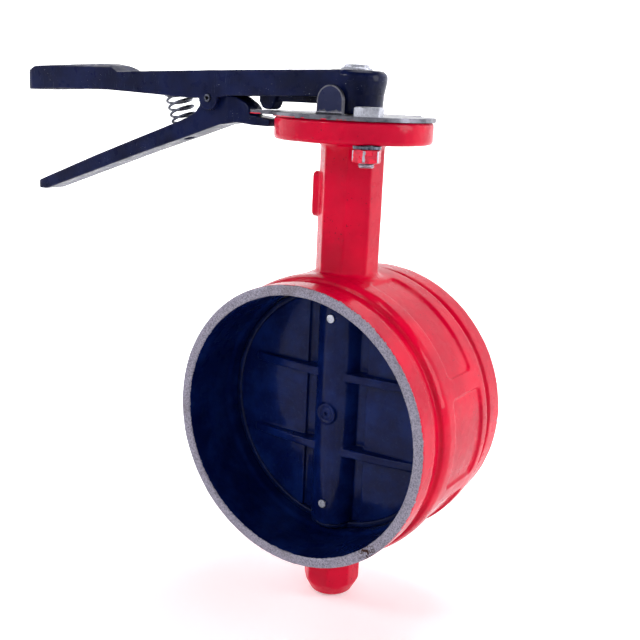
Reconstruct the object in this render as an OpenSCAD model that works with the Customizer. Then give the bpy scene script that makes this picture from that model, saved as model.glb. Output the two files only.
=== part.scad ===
// Grooved-end butterfly valve, DN 200, with a squeeze-latch lever.
// Frame: origin in the middle of the bore, pipe axis along Y (front end at -Y),
// stem axis along Z, and the lever pointing to -X when the disc is closed.

/* [Pipe ends] */
// Outside diameter of the grooved ends
pipe_od = 219.1; // [219.0:0.1:219.6]
// End-to-end length of the body
body_length = 133.6; // [132.6:0.2:136]
// Width of the land outside each coupling groove
land_width = 19.05; // [18.5:0.05:19.6]
// Width of each coupling groove
groove_width = 11.13; // [10.5:0.01:11.8]
// Depth of each coupling groove
groove_depth = 2.34; // [2.0:0.01:2.6]
// Wall thickness at the end faces
end_wall = 8.3; // [7.5:0.1:8.8]

/* [Body casting] */
// Outer radius of the barrel between the grooves
barrel_r = 112.6; // [111.6:0.1:113.6]
// Bore radius of the raised seat band
seat_r = 99.7; // [99.6:0.1:100]
// Half width of the seat band along the pipe
seat_half = 15; // [13:0.5:17]
// Depth of the recessed panels
panel_depth = 2; // [1:0.25:2.5]
// Octagonal neck, across flats
neck_af = 45.8; // [44:0.2:48]
// Octagonal bottom boss, across flats
boss_af = 43; // [41:0.2:45]
// Height of the bottom of the boss
boss_bottom_z = -159; // [-162:0.5:-157]

/* [Top flange] */
// Radius of the flange
flange_r = 60; // [59:0.5:61]
// Height of the flange's underside
flange_under_z = 211.7; // [210:0.1:213]
// Height of the flange's top face
flange_top_z = 228.4; // [228.2:0.1:228.6]
// Radius of the bolt circle
bolt_circle_r = 51; // [50.5:0.1:51.5]

/* [Disc] */
// Outer radius of the rubber rim, a zone of a sphere
disc_r = 99.2; // [98.8:0.1:99.3]
// Radius at which the rubber rim meets the casting
rim_inner_r = 94.5; // [93:0.5:95.5]
// Half thickness of the disc's plate
plate_half = 6.5; // [6:0.25:7]
// Radius of the hub along the stem
hub_r = 19.5; // [19:0.1:20.5]
// Height of the two taper pins above and below the centre
taper_pin_z = 77; // [74:0.5:79]

/* [Stem] */
// Radius of both stems
stem_r = 9.5; // [9.3:0.05:9.6]
// Radial running clearance of the stems in their bushes
run_gap = 0.05; // [0.02:0.01:0.1]
// Side of the square that drives the lever
drive_square = 13; // [12:0.5:13]

/* [Notch plate] */
// Thickness of the notch plate
notch_plate_t = 3; // [2.8:0.1:3.2]
// Radius of the round part of the plate
notch_plate_r = 61.3; // [60.5:0.1:62]
// Outer radius of the notched sector
sector_r = 87.5; // [87:0.1:87.6]
// Number of notches over the quarter turn
notch_count = 10; // [4:1:10]

/* [Lever] */
// Height of the top of the lever's hub
lever_top_z = 264; // [263:0.25:265]
// Distance from the stem axis to the end of the grip
lever_reach = 348; // [340:1:355]
// Thickness of the lever's side walls
lever_wall = 4; // [3.5:0.1:4.2]
// Half width of the arm over its straight stretch
arm_half = 16.6; // [16.5:0.1:17]

/* [Latch] */
// Distance from the stem axis to the trigger's pivot
pivot_x = 129; // [128:0.5:130]
// Height of the trigger's pivot
pivot_z = 238.4; // [238:0.1:239]
// Half width of the trigger
trigger_half = 11; // [10:0.25:11.5]
// Mean radius of the latch spring's coils
coil_r = 10.2; // [9.8:0.1:10.3]
// Radius of the spring wire
wire_r = 1.1; // [0.8:0.05:1.2]
// Number of turns in the spring
coil_turns = 4.5; // [3.5:0.5:5]

/* [Hidden] */
$fn = 96;
eps = 0.01;
cut = 1;            // how far a cutter runs past the face it opens

end_r = pipe_od / 2;
half_length = body_length / 2;
groove_r = end_r - groove_depth;
bore_r = end_r - end_wall;
groove_out_y = half_length - land_width;
groove_in_y = groove_out_y - groove_width;
shoulder = [[2, 7.4], [0.9, 1]];    // drop and length of the barrel's front and rear shoulders
seat_ramp = 4;                      // length of the ramp from bore to seat band
edge_break = 0.8;                   // chamfer on the corners of the end faces

// Bearings and seals in the body
bush_r = stem_r + 2.5;
bush_bore_r = stem_r + run_gap;
neck_bore_r = stem_r + 1;
middle_bush_z = [102.5, 122];
upper_bush_z = [196, 225];
lower_bush_z = [-144.5, -113];
blind_hole_z = -148.5;
thrust_washer_t = 2.2;
oring_wire_r = 1.55;
oring_upper_z = [127.5, 134.5];
oring_lower_z = [-107.5];

// Stem ends
stem_split_z = 40;                  // both stems stop this far from the centre
upper_stem_top_z = 262;
drive_start_z = 236.4;
lower_stem_end_z = blind_hole_z + thrust_washer_t + 0.1;
circlip_z = [229.2, 230.6];
circlip_groove_r = stem_r - 1.1;

// Disc: ribs, the channel beside the hub, and the turned boss in the middle of the front face
rib_half = 3.4;
rib_z = 31;
rib_end_x = 79;
channel_x = 28;
channel_half = 3.2;                 // half thickness of the plate in the channel
centre_boss_r = 8.4;

// Taper pins cross the hub along Y, wide end to the front
taper_front_r = 3.3;
taper_back_r = 2.7;
taper_half = 20.4;

// Flange bolts, front right and back left
bolt_angles = [-47.5, 132.5];
bolt_r = 6;
bolt_hole_r = 6.6;
hex_af = 19;
head_h = 6.8;
spring_washer_t = 2.6;
nut_h = 9.6;
bolt_end_z = 196;
plate_top_z = flange_top_z + notch_plate_t;
nut_top_z = flange_under_z - spring_washer_t;

// Fillets at the two ends of the neck, and the chamfer under the notch plate's edge
foot_fillet_r = 6;
foot_fillet_z = 110;
head_fillet_r = 8;
flange_chamfer = 1.8;

// Panels on the barrel's right side: [lower angle, upper angle, front edge, rear edge]
panels = [[25, 74, -16, 20.5], [-19, 17.5, -19, 27], [-62, -27, -19, 27]];
panel_corner_r = 5;
corner_over = 0.06;                 // keeps the corner rounds from only just touching the walls

// Notched sector: from just past the closed notch to just past the open one
sector_start = 82;
sector_end = 190.5;
closed_angle = 180;
notch_w = 7.2;
notch_d = 7;

// Stop tab, bent up beside the lever's hub
tab_x = [-16, 6.5];
tab_y = -27.9;
tab_top_z = 252.4;
tab_bend_r = 2.2;
centre_hole_r = 15;

// Lever
hub_low_r = 21;
hub_high_r = 23.5;
hub_under_z = plate_top_z + 0.6;
arm_taper_x = -104;                 // where the arm's sides become parallel
arm_end_x = -232;                   // where the grip begins
roof_t = 5;
grip_half = 16.6;
pivot_boss_r = 9.5;
pin_r = 3;
pin_half = arm_half + 1;
lug_x = [-86, -70.5];
lug_under_z = plate_top_z + 0.5;
cap_seat_z = lever_top_z + 1.5;     // where the lever's bolt head sits on its washer
cap_af = 17;
cap_h = 2.4;

// Latch spring: its axis stands square to the trigger's top face
spring_tilt = 20.5;
spring_foot = [-167, 0, 217.85];
spring_free = 29.6;

// ---------- shared shapes ----------

// Turns a shape that stands along Z so that it lies along +Y
module along_y() rotate([-90, 0, 0]) children();

// A ring about Z between two heights
module ring(outer, inner, z) {
    translate([0, 0, z[0]])
        difference() {
            cylinder(r = outer, h = z[1] - z[0]);
            translate([0, 0, -cut]) cylinder(r = inner, h = z[1] - z[0] + 2 * cut);
        }
}

// A right octagonal prism about Z
module octagon(af, z) {
    translate([0, 0, z[0]])
        rotate([0, 0, 22.5])
            cylinder(r = af / 2 / cos(22.5), h = z[1] - z[0], $fn = 8);
}

// A hexagon about Z whose corners are turned off at the top
module hex_blank(af, h, chamfer) {
    corner_r = af / 2 / cos(30);
    intersection() {
        cylinder(r = corner_r, h = h, $fn = 6);
        rotate_extrude()
            polygon([
                [0, 0], [corner_r + eps, 0], [corner_r + eps, h - chamfer * 0.58],
                [corner_r - chamfer, h], [0, h]
            ]);
    }
}

// Places its children at each flange bolt
module at_bolts() {
    for (a = bolt_angles)
        rotate([0, 0, a]) translate([bolt_circle_r, 0, 0]) rotate([0, 0, -a]) children();
}

// A flat outline in X and Z, made into a slab that spans y[0] to y[1]
module side_slab(points, y) {
    translate([0, y[1], 0]) rotate([90, 0, 0]) linear_extrude(y[1] - y[0]) polygon(points);
}

// ---------- body casting ----------

// Outside of the barrel with both coupling grooves
module barrel_outside() {
    along_y()
        rotate_extrude($fn = 180)
            polygon(concat(
                [[0, -half_length]],
                half_profile(-1, shoulder[0]),
                reversed(half_profile(1, shoulder[1])),
                [[0, half_length]]
            ));
}

function reversed(list) = [for (i = [len(list) - 1:-1:0]) list[i]];

// Land, groove and shoulder of one end, from the end face towards the middle
function half_profile(s, step) = [
    [end_r - edge_break, s * half_length],
    [end_r, s * (half_length - edge_break)],
    [end_r, s * groove_out_y],
    [groove_r, s * (groove_out_y - 0.4)],
    [groove_r, s * (groove_in_y + 0.4)],
    [barrel_r - step[0], s * groove_in_y],
    [barrel_r - step[0] * 0.3, s * (groove_in_y - step[1] * 0.6)],
    [barrel_r, s * (groove_in_y - step[1])]
];

// Water way with the raised seat band in the middle
module bore_cutter() {
    along_y()
        rotate_extrude($fn = 180)
            polygon([
                [0, -half_length - cut],
                [bore_r + edge_break, -half_length - cut],
                [bore_r + edge_break, -half_length],
                [bore_r, -half_length + edge_break],
                [bore_r, -seat_half - seat_ramp],
                [seat_r, -seat_half],
                [seat_r, seat_half],
                [bore_r, seat_half + seat_ramp],
                [bore_r, half_length - edge_break],
                [bore_r + edge_break, half_length],
                [bore_r + edge_break, half_length + cut],
                [0, half_length + cut]
            ]);
}

// The recess of one panel, with rounded corners
module panel_recess(low, high, y) {
    floor_r = barrel_r - panel_depth;
    r = panel_corner_r;
    corner_a = r / barrel_r * 180 / PI;
    intersection() {
        along_y() ring(barrel_r + 6, floor_r, [y[0] - cut, y[1] + cut]);
        union() {
            panel_wedge([low + corner_a, high - corner_a], y);
            panel_wedge([low, high], [y[0] + r, y[1] - r]);
            for (a = [low + corner_a, high - corner_a])
                for (mid_y = [y[0] + r, y[1] - r])
                    translate([0, mid_y, 0])
                        rotate([0, 90 - a, 0])
                            translate([0, 0, floor_r - 5])
                                cylinder(r = r + corner_over, h = 20, $fn = 32);
        }
    }
}

// A slice of the XZ plane between two angles, spanning y
module panel_wedge(angles, y) {
    far = barrel_r + 20;
    middle = (angles[0] + angles[1]) / 2;
    side_slab([
        [0, 0],
        [far * cos(angles[0]), far * sin(angles[0])],
        [far * cos(middle) * 1.1, far * sin(middle) * 1.1],
        [far * cos(angles[1]), far * sin(angles[1])]
    ], y);
}

// The barrel with its panels on both sides
module barrel() {
    difference() {
        barrel_outside();
        for (p = panels) {
            panel_recess(p[0], p[1], [p[2], p[3]]);
            panel_recess(180 - p[1], 180 - p[0], [p[2], p[3]]);
        }
    }
}

// A turned ring whose side curves inwards from its foot: the foot is at z, dir points along the neck
module neck_fillet(r, z, dir) {
    steps = 8;
    foot = neck_af / 2;
    root_z = z - dir * 7;
    rotate_extrude()
        polygon(concat(
            [[0, root_z], [foot + r, root_z]],
            [for (i = [0:steps])
                let (a = 90 * i / steps)
                [foot + r * (1 - sin(a)), z + dir * r * (1 - cos(a))]],
            [[0, z + dir * r]]
        ));
}

module flange_disc() {
    rotate_extrude($fn = 128)
        polygon([
            [0, flange_under_z],
            [flange_r - 2.2, flange_under_z],
            [flange_r - 0.6, flange_under_z + 0.7],
            [flange_r, flange_under_z + 2.4],
            [flange_r, flange_top_z - flange_chamfer],
            [flange_r - flange_chamfer, flange_top_z],
            [0, flange_top_z]
        ]);
}

// Bottom boss: an octagon whose end is turned to a blunt cone
module bottom_boss() {
    corner_r = boss_af / 2 / cos(22.5);
    intersection() {
        octagon(boss_af, [boss_bottom_z, -100]);
        rotate_extrude()
            polygon([
                [0, boss_bottom_z], [14.5, boss_bottom_z], [17, boss_bottom_z + 1],
                [corner_r + 0.5, boss_bottom_z + 13], [corner_r + 0.5, -99], [0, -99]
            ]);
    }
}

// Small rectangular casting pad on the neck's lever side
module neck_pad() {
    pad_z = [153, 188];
    corner = 4;
    out_x = -neck_af / 2 - 5.4;
    translate([out_x, 0, 0])
        rotate([0, 90, 0])
            linear_extrude(12)
                union() {
                    translate([-pad_z[1], -11 + corner]) square([pad_z[1] - pad_z[0], 22 - 2 * corner]);
                    translate([-pad_z[1] + corner, -11]) square([pad_z[1] - pad_z[0] - 2 * corner, 22]);
                    for (z = [pad_z[0] + corner, pad_z[1] - corner])
                        for (y = [-11 + corner, 11 - corner])
                            translate([-z, y]) circle(r = corner, $fn = 32);
                }
}

module oring_groove(z) {
    half = oring_wire_r + 0.2;
    ring(stem_r + 3.4, stem_r - 1, [z - half, z + half]);
}

module valve_body() {
    color("crimson")
        difference() {
            union() {
                barrel();
                octagon(neck_af, [100, flange_under_z + 1]);
                neck_fillet(foot_fillet_r, foot_fillet_z, 1);
                neck_fillet(head_fillet_r, flange_under_z, -1);
                neck_pad();
                flange_disc();
                bottom_boss();
            }
            bore_cutter();
            translate([0, 0, 60]) cylinder(r = neck_bore_r, h = 200);
            translate([0, 0, blind_hole_z]) cylinder(r = bush_r, h = lower_bush_z[1] - blind_hole_z);
            translate([0, 0, lower_bush_z[1] - cut]) cylinder(r = neck_bore_r, h = 60);
            translate([0, 0, 60]) cylinder(r = bush_r, h = middle_bush_z[1] - 60);
            translate([0, 0, upper_bush_z[0]]) cylinder(r = bush_r, h = 60);
            for (z = oring_upper_z) oring_groove(z);
            for (z = oring_lower_z) oring_groove(z);
            at_bolts()
                translate([0, 0, flange_under_z - cut * 3])
                    cylinder(r = bolt_hole_r, h = 30, $fn = 48);
        }
}

// ---------- disc ----------

// A rib on one face, square to the hub, with a round outer end
module disc_rib() {
    intersection() {
        translate([0, 0, rib_z])
            rotate([90, 0, 0])
                union() {
                    translate([12, -rib_half, 0]) cube([rib_end_x - rib_half - 12, 2 * rib_half, 20]);
                    translate([rib_end_x - rib_half, 0, 0]) cylinder(r = rib_half, h = 20, $fn = 48);
                }
        side_slab_z([
            [10, 0], [10, -15.5], [26, -15], [52, -12.4], [rib_end_x - 9, -9.4],
            [rib_end_x - 2, -8.2], [rib_end_x, -plate_half], [rib_end_x, 0]
        ], [rib_z - rib_half - 1, rib_z + rib_half + 1]);
    }
}

// A flat outline in X and Y, made into a slab that spans z[0] to z[1]
module side_slab_z(points, z) {
    translate([0, 0, z[0]]) linear_extrude(z[1] - z[0]) polygon(points);
}

// The four ribs of the front face
module front_ribs() {
    for (x_side = [0, 1])
        for (z_side = [0, 1])
            mirror([x_side, 0, 0]) mirror([0, 0, z_side]) disc_rib();
}

// The channel beside the hub, where the disc's plate is thinner than its two pads
module hub_channel() {
    for (side = [-1, 1])
        translate([side > 0 ? 8 : -channel_x, -plate_half - cut, -rim_inner_r - cut])
            cube([channel_x - 8, plate_half + cut - channel_half, 2 * rim_inner_r + 2 * cut]);
}

module disc() {
    color("midnightblue")
        difference() {
            intersection() {
                union() {
                    difference() {
                        along_y()
                            translate([0, 0, -plate_half])
                                cylinder(r = rim_inner_r + 1, h = 2 * plate_half, $fn = 180);
                        hub_channel();
                        mirror([0, 1, 0]) hub_channel();
                    }
                    translate([0, 0, -rim_inner_r - 1]) cylinder(r = hub_r, h = 2 * rim_inner_r + 2);
                    front_ribs();
                    mirror([0, 1, 0]) front_ribs();
                    along_y() translate([0, 0, -hub_r - 1.4]) cylinder(r = centre_boss_r, h = 10, $fn = 64);
                }
                along_y()
                    translate([0, 0, -40])
                        cylinder(r = rim_inner_r, h = 80, $fn = 180);
            }
            translate([0, 0, -120]) cylinder(r = stem_r, h = 240);
            along_y() ring(6.6, 4.2, [-hub_r - 3, -hub_r - 0.2]);
            along_y() translate([0, 0, -hub_r - 3]) cylinder(r = 1.5, h = 4, $fn = 32);
            for (z = [-taper_pin_z, taper_pin_z])
                translate([0, 0, z]) taper_shape(2);
        }
}

// The taper of a pin, run out past both ends by extra
module taper_shape(extra) {
    slope = (taper_front_r - taper_back_r) / (2 * taper_half);
    along_y()
        translate([0, 0, -taper_half - extra])
            cylinder(
                r1 = taper_front_r + slope * extra,
                r2 = taper_back_r - slope * extra,
                h = 2 * (taper_half + extra),
                $fn = 48
            );
}

// Rubber rim: the edge of the disc, with a round pad at each end of the hub
module disc_seal() {
    rim_half = plate_half + 0.6;
    color([0.05, 0.06, 0.12])
        difference() {
            intersection() {
                sphere(r = disc_r, $fn = 180);
                union() {
                    along_y()
                        translate([0, 0, -rim_half])
                            cylinder(r = disc_r + 1, h = 2 * rim_half, $fn = 180);
                    translate([0, 0, -disc_r - 1]) cylinder(r = hub_r - 0.6, h = 2 * disc_r + 2);
                }
            }
            along_y() translate([0, 0, -40]) cylinder(r = rim_inner_r, h = 80, $fn = 180);
            translate([0, 0, -120]) cylinder(r = stem_r + 0.05, h = 240);
        }
}

// ---------- stems, pins, bearings ----------

module upper_stem() {
    color("silver")
        difference() {
            union() {
                translate([0, 0, stem_split_z]) cylinder(r = stem_r, h = drive_start_z - stem_split_z);
                translate([-drive_square / 2, -drive_square / 2, drive_start_z - 1])
                    cube([drive_square, drive_square, upper_stem_top_z - drive_start_z + 1]);
            }
            translate([0, 0, taper_pin_z]) taper_shape(2);
            ring(stem_r + 2, circlip_groove_r, circlip_z);
            translate([0, 0, upper_stem_top_z - 22]) cylinder(r = 5, h = 30);
        }
}

module lower_stem() {
    color("silver")
        difference() {
            translate([0, 0, lower_stem_end_z])
                cylinder(r = stem_r, h = -stem_split_z - lower_stem_end_z);
            translate([0, 0, -taper_pin_z]) taper_shape(2);
        }
}

module taper_pins() {
    color("lightgray")
        for (z = [-taper_pin_z, taper_pin_z])
            translate([0, 0, z]) taper_shape(0);
}

module upper_bush() color("goldenrod") ring(bush_r, bush_bore_r, upper_bush_z);

module middle_bush() color("goldenrod") ring(bush_r, bush_bore_r, middle_bush_z);

module lower_bush() color("goldenrod") ring(bush_r, bush_bore_r, lower_bush_z);

// An O-ring whose inner edge just clears the stem
module o_ring(z) {
    translate([0, 0, z])
        rotate_extrude()
            translate([bush_bore_r + oring_wire_r, 0])
                circle(r = oring_wire_r, $fn = 32);
}

module upper_o_rings() color("dimgray") for (z = oring_upper_z) o_ring(z);

module lower_o_ring() color("dimgray") for (z = oring_lower_z) o_ring(z);

module thrust_washer() {
    color("goldenrod")
        translate([0, 0, blind_hole_z])
            cylinder(r = bush_r - 0.1, h = thrust_washer_t);
}

// Open retaining ring in the stem's groove, inside the notch plate's centre hole
module stem_circlip() {
    color("gray")
        difference() {
            ring(12.4, circlip_groove_r, [circlip_z[0] + 0.05, circlip_z[1] - 0.05]);
            translate([0, -2.5, circlip_z[0] - cut]) cube([20, 5, 6]);
        }
}

// ---------- notch plate and its bolts ----------

// The quarter sector that carries the notches
module sector_blank() {
    far = sector_r + 30;
    middle = (sector_start + sector_end) / 2;
    translate([0, 0, flange_top_z])
        intersection() {
            cylinder(r = sector_r, h = notch_plate_t, $fn = 180);
            linear_extrude(notch_plate_t)
                polygon([
                    [0, 0],
                    [far * cos(sector_start), far * sin(sector_start)],
                    [far * cos(middle), far * sin(middle)] * 1.4,
                    [far * cos(sector_end), far * sin(sector_end)]
                ]);
        }
}

// The tab's outline seen from the end: a leg that rises from a rounded bend
module stop_tab() {
    width = tab_x[1] - tab_x[0];
    intersection() {
        translate([tab_x[0], 0, 0])
            rotate([90, 0, 90])
                linear_extrude(width)
                    difference() {
                        union() {
                            translate([tab_y, plate_top_z - 1]) square([notch_plate_t, 30]);
                            translate([tab_y - tab_bend_r, flange_top_z])
                                square([notch_plate_t + tab_bend_r, notch_plate_t + tab_bend_r]);
                        }
                        translate([tab_y - tab_bend_r, plate_top_z + tab_bend_r])
                            circle(r = tab_bend_r, $fn = 32);
                    }
        union() {
            translate([tab_x[0], tab_y - 5, flange_top_z])
                cube([width, 15, tab_top_z - width / 2 - flange_top_z]);
            translate([tab_x[0] + width / 2, tab_y - 5, tab_top_z - width / 2])
                along_y() cylinder(r = width / 2, h = 15, $fn = 64);
        }
    }
}

module notch_plate() {
    pitch = 90 / (notch_count - 1);
    inner_y = tab_y + notch_plate_t;
    color("lightsteelblue")
        difference() {
            union() {
                translate([0, 0, flange_top_z]) cylinder(r = notch_plate_r, h = notch_plate_t, $fn = 128);
                sector_blank();
                stop_tab();
            }
            translate([0, 0, flange_top_z - cut]) cylinder(r = centre_hole_r, h = notch_plate_t + 2 * cut);
            translate([tab_x[0] - 1, inner_y, flange_top_z - cut])
                cube([tab_x[1] - tab_x[0] + 2, 16, notch_plate_t + 2 * cut]);
            at_bolts()
                translate([0, 0, flange_top_z - cut])
                    cylinder(r = bolt_hole_r, h = notch_plate_t + 2 * cut, $fn = 48);
            for (i = [0:notch_count - 1])
                rotate([0, 0, closed_angle - i * pitch])
                    translate([sector_r - notch_d, -notch_w / 2, flange_top_z - cut])
                        cube([notch_d + 5, notch_w, notch_plate_t + 2 * cut]);
        }
}

module plate_bolts() {
    color("lightgray")
        at_bolts() {
            translate([0, 0, plate_top_z]) rotate([0, 0, 12]) hex_blank(hex_af, head_h, 1.2);
            translate([0, 0, bolt_end_z]) cylinder(r = bolt_r, h = plate_top_z - bolt_end_z + 1, $fn = 48);
        }
}

// Split washers, each with its cut
module plate_spring_washers() {
    color("dimgray")
        at_bolts()
            difference() {
                ring(10.2, bolt_r + 0.3, [nut_top_z, nut_top_z + spring_washer_t]);
                rotate([0, 0, 200]) translate([0, -0.8, nut_top_z - cut]) cube([20, 1.6, 6]);
            }
}

module plate_nuts() {
    color("crimson")
        at_bolts()
            difference() {
                translate([0, 0, nut_top_z - nut_h])
                    rotate([0, 0, 20])
                        intersection() {
                            hex_blank(hex_af, nut_h, 1.2);
                            translate([0, 0, nut_h]) mirror([0, 0, 1]) hex_blank(hex_af, nut_h, 1.2);
                        }
                translate([0, 0, nut_top_z - nut_h - cut])
                    cylinder(r = bolt_r + 0.03, h = nut_h + 2 * cut, $fn = 48);
            }
}

// ---------- lever ----------

// The arm and grip seen from above, out to a half width
module arm_plan(half, hub_half) {
    end_r = 10;
    polygon([
        [0, -hub_half], [0, hub_half],
        [arm_taper_x, half], [arm_end_x, half],
        [-lever_reach + end_r, half],
        for (i = [1:5]) [-lever_reach + end_r - end_r * sin(18 * i), half - end_r + end_r * cos(18 * i)],
        for (i = [5:-1:1]) [-lever_reach + end_r - end_r * sin(18 * i), -half + end_r - end_r * cos(18 * i)],
        [-lever_reach + end_r, -half],
        [arm_end_x, -half], [arm_taper_x, -half]
    ]);
}

// The arm seen from the side
module arm_side() {
    side_slab([
        [0, 243.6], [-25, 243.3], [-108, 241.2], [-122, 238.8], [-148, 237.6],
        [-189, 239.3], [-249, 241.2], [-300, 240.2], [-lever_reach, 238],
        [-lever_reach, 251], [arm_end_x, 256.6], [-112, 260.9], [-19, 263.2], [0, 263.4]
    ], [-40, 40]);
}

// The grip's raised back, a rounded ridge that starts with a slope
module grip_back() {
    ridge_top = [
        [arm_end_x + 4, 252], [arm_end_x + 1, 256.6], [-241.5, 262], [-249, 263.5],
        [-lever_reach + 14, 259.3], [-lever_reach + 4, 255], [-lever_reach, 248], [-lever_reach, 246]
    ];
    intersection() {
        side_slab(ridge_top, [-30, 30]);
        translate([-lever_reach, 0, 0])
            rotate([90, 0, 90])
                linear_extrude(lever_reach)
                    union() {
                        translate([-grip_half, 230]) square([2 * grip_half, 22]);
                        translate([0, 236.5]) grip_crown();
                    }
        translate([0, 0, 230]) linear_extrude(60) arm_plan(grip_half, grip_half);
    }
}

// A broad crown, part of a circle, for the grip's back
module grip_crown() {
    crown_r = 34;
    crown_h = 27.5;
    intersection() {
        translate([0, crown_h - crown_r]) circle(r = crown_r, $fn = 128);
        translate([-grip_half, 0]) square([2 * grip_half, crown_h]);
    }
}

module lever_hub() {
    rotate_extrude()
        polygon([
            [0, hub_under_z], [hub_low_r - 1, hub_under_z], [hub_low_r, hub_under_z + 1],
            [hub_low_r + 0.6, 246], [hub_high_r, 256], [hub_high_r, 259.5],
            [hub_high_r - 1, lever_top_z - 2.2], [hub_high_r - 3, lever_top_z - 0.6],
            [hub_high_r - 6.5, lever_top_z], [0, lever_top_z]
        ]);
}

// The hollow under the arm, open at the bottom
module arm_hollow() {
    intersection() {
        translate([0, 0, 220]) linear_extrude(80) arm_plan(arm_half - lever_wall, 23.5 - lever_wall);
        side_slab([
            [-28, 200], [-28, 257.8], [-112, 255.9], [-235, 250.8], [-lever_reach + 6, 250], [-lever_reach + 6, 200]
        ], [-30, 30]);
    }
}

// Tilted seat for the top of the latch spring
module spring_seat() {
    intersection() {
        translate(spring_foot)
            rotate([0, -spring_tilt, 0])
                translate([0, 0, spring_free + 0.2])
                    union() {
                        cylinder(r = 12.4, h = 30);
                        translate([0, 0, -4]) cylinder(r = 6.5, h = 10);
                    }
        translate([-210, -arm_half + 1, 225]) cube([60, 2 * arm_half - 2, 30]);
    }
}

// Rib under the arm between the hub and the guide lug
module centre_rib() {
    rib_half = 2.6;
    side_slab([[-18, 238.6], [-76, 238.2], [-80, 243], [-80, 257], [-18, 258]], [-rib_half, rib_half]);
}

module guide_lug() {
    lug_half = 6;
    side_slab([
        [lug_x[0], 256], [lug_x[0] + 1, lug_under_z + 6], [lug_x[0] + 4, lug_under_z + 1.4],
        [lug_x[0] + 7.5, lug_under_z], [lug_x[1] - 4, lug_under_z], [lug_x[1] - 1.5, lug_under_z + 1.6],
        [lug_x[1], lug_under_z + 5], [lug_x[1] + 2.5, 245], [lug_x[1] + 6, 256]
    ], [-lug_half, lug_half]);
}

module lever() {
    color([0.06, 0.08, 0.16])
        difference() {
            union() {
                difference() {
                    union() {
                        intersection() {
                            translate([0, 0, 220]) linear_extrude(80) arm_plan(arm_half, hub_high_r);
                            arm_side();
                        }
                        grip_back();
                        for (side = [-1, 1])
                            translate([-pivot_x, side > 0 ? arm_half - lever_wall : -arm_half, pivot_z])
                                along_y() cylinder(r = pivot_boss_r, h = lever_wall);
                    }
                    arm_hollow();
                }
                lever_hub();
                centre_rib();
                guide_lug();
                spring_seat();
            }
            translate([-drive_square / 2 - 0.02, -drive_square / 2 - 0.02, hub_under_z - cut])
                cube([drive_square + 0.04, drive_square + 0.04, upper_stem_top_z - hub_under_z + cut]);
            translate([0, 0, hub_under_z - cut])
                cylinder(r = stem_r + 0.5, h = drive_start_z + 0.3 - hub_under_z + cut);
            translate([0, 0, hub_under_z]) cylinder(r = 5.4, h = 40);
            translate([-pivot_x, -40, pivot_z]) along_y() cylinder(r = pin_r, h = 80, $fn = 48);
        }
}

module lever_washer() {
    color("lightgray") ring(12, 5.4, [lever_top_z, cap_seat_z]);
}

module lever_bolt() {
    shank_z = upper_stem_top_z - 20;
    color("lightgray") {
        translate([0, 0, cap_seat_z]) rotate([0, 0, 8]) hex_blank(cap_af, cap_h, 1.2);
        translate([0, 0, shank_z]) cylinder(r = 5, h = cap_seat_z - shank_z + 1, $fn = 48);
    }
}

// ---------- latch ----------

// The trigger seen from the side: finger bar, pivot block and nose
function trigger_outline() = [
    [-342.5, 149.5], [-341.5, 153], [-339, 154.9],
    [-258, 185.3], [-181, 212.6], [-155, 222.2], [-147, 226.4], [-142.5, 232], [-140.5, 239],
    for (i = [0:6]) [-pivot_x + 9.2 * cos(165 - 22 * i), pivot_z + 9.2 * sin(165 - 22 * i)],
    [-105, 240.4], [-97, 236.4], [-92.6, 232.6], [-92.4, 227], [-88, 226.7],
    [-73.4, 224.6], [-72.4, 223.6], [-72.4, 219.6], [-73.8, 218.7], [-90, 219],
    [-105, 220.3], [-122, 217.5], [-155, 206.4], [-209, 188.8], [-329, 147.6], [-339, 147.2]
];

module latch_trigger() {
    nose_half = 9;
    color([0.05, 0.07, 0.15])
        difference() {
            union() {
                intersection() {
                    side_slab(trigger_outline(), [-trigger_half, trigger_half]);
                    translate([0, 0, 140]) linear_extrude(120) trigger_plan(nose_half);
                }
                translate([-95, -3.2, 224.5]) cube([95 - 88.1, 6.4, 6.6]);
            }
            translate([-pivot_x, -40, pivot_z]) along_y() cylinder(r = pin_r + run_gap, h = 80, $fn = 48);
            translate(spring_foot)
                rotate([0, -spring_tilt, 0])
                    union() {
                        translate([0, 0, -0.3]) cylinder(r = coil_r + wire_r + 0.6, h = 8);
                        translate([0, 0, -30]) cylinder(r = 4.6, h = 60, $fn = 48);
                    }
        }
}

// The trigger seen from above, with a round end on the finger bar
module trigger_plan(nose_half) {
    r = 8;
    w = trigger_half;
    polygon([
        for (i = [0:5]) [-343 + r - r * cos(18 * i), w - r + r * sin(18 * i)],
        [-112, w], [-100, nose_half], [-70, nose_half],
        [-70, -nose_half], [-100, -nose_half], [-112, -w],
        for (i = [5:-1:0]) [-343 + r - r * cos(18 * i), -w + r - r * sin(18 * i)]
    ]);
}

// Hollow rolled pin, pressed into the lever
module trigger_pin() {
    color("dimgray")
        translate([-pivot_x, -pin_half, pivot_z])
            along_y()
                difference() {
                    cylinder(r = pin_r, h = 2 * pin_half, $fn = 48);
                    translate([0, 0, -cut]) cylinder(r = 1.5, h = 2 * pin_half + 2 * cut, $fn = 24);
                }
}

// One ring of the wire, square to the helix, at turn t of the coil
function coil_ring(t, sides) =
    let (
        rise = spring_free - 2 * wire_r,
        z = wire_r + rise * t / coil_turns,
        lean = atan(rise / coil_turns / (2 * PI * coil_r)),
        a = 360 * t
    )
    [for (k = [0:sides - 1])
        let (
            b = 360 * k / sides,
            u = wire_r * cos(b),
            v = wire_r * sin(b)
        )
        [
            (coil_r + u) * cos(a) + v * sin(lean) * sin(a),
            (coil_r + u) * sin(a) - v * sin(lean) * cos(a),
            z + v * cos(lean)
        ]
    ];

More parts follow.
